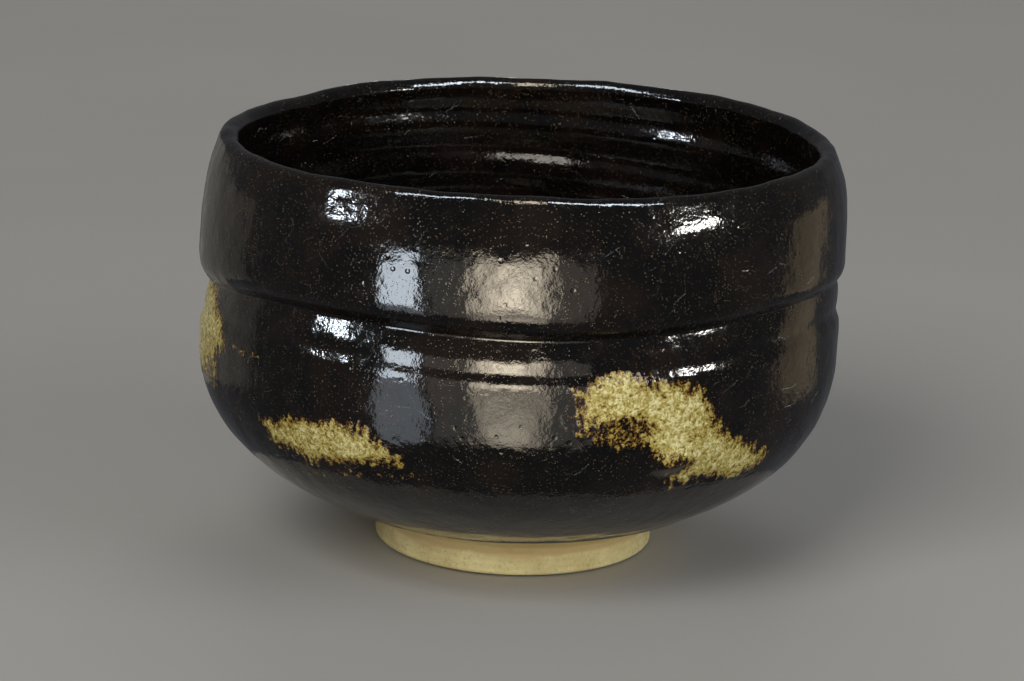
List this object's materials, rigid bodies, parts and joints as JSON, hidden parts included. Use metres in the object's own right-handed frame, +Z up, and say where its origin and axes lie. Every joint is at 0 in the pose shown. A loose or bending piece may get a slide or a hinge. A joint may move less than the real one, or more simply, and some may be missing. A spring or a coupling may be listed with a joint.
{
  "type": "matcha bowl",
  "caption": "Thrown stoneware tea bowl with a bare foot ring, black glaze, a pressed groove round the wall and khaki ash splashes.",
  "frame": {"origin": "middle of the box around the bowl, on the plane that the foot ring stands on", "axes": "+Z up, out of the bowl's mouth; -Y towards the front, where two of the three ash splashes are"},
  "size_m": [0.1216, 0.1222, 0.0787],
  "materials": {
    "bare_clay": "unglazed buff stoneware, fine grained and matte",
    "outer_black_glaze": "glossy near-black iron glaze, slightly uneven, with fine pits and sparkle",
    "inner_black_glaze": "glossy near-black iron glaze",
    "straw_ash_glaze": "pale khaki straw-ash glaze, granular, with amber edges"
  },
  "bodies": {
    "root": {"clay_body": "bare_clay", "foot_ring": "bare_clay", "inner_glaze_coat": "inner_black_glaze", "outer_glaze_coat": "outer_black_glaze", "ash_splash_left": "straw_ash_glaze", "ash_splash_front_left": "straw_ash_glaze", "ash_splash_front_right": "straw_ash_glaze"}
  },
  "joints": []
}
